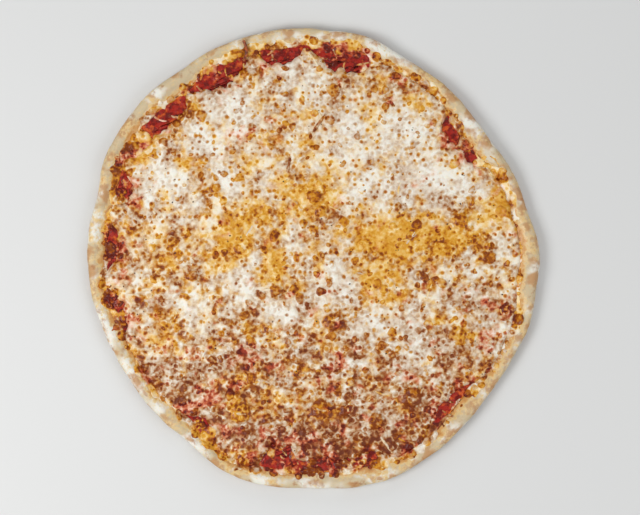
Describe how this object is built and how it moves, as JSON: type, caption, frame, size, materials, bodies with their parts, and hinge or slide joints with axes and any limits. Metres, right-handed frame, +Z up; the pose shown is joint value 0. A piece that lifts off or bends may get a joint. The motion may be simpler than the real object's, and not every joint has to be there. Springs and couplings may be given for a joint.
{
  "type": "round cheese pizza",
  "caption": "Whole round thin-crust cheese pizza: hand-stretched dough with a pale puffed rim, tomato sauce showing at the edge and a browned, blistered sheet of melted cheese.",
  "frame": {"origin": "on the table under the middle of the pizza's box, at the height of its flat underside", "axes": "+Z up through the toppings; +Y towards the part of the rim that is at the top of the picture; +X to its right"},
  "size_m": [0.3812, 0.3882, 0.0149],
  "materials": {
    "crust": "dry, floury, baked dough",
    "tomato_sauce": "wet, pulpy, softly shining sauce",
    "melted_cheese": "melted, oily, browned in spots",
    "browned_strand": "browned, slightly shining cheese"
  },
  "bodies": {
    "root": {"crust": "crust", "tomato_sauce": "tomato_sauce", "melted_cheese": "melted_cheese", "browned_strand": "browned_strand"}
  },
  "joints": []
}
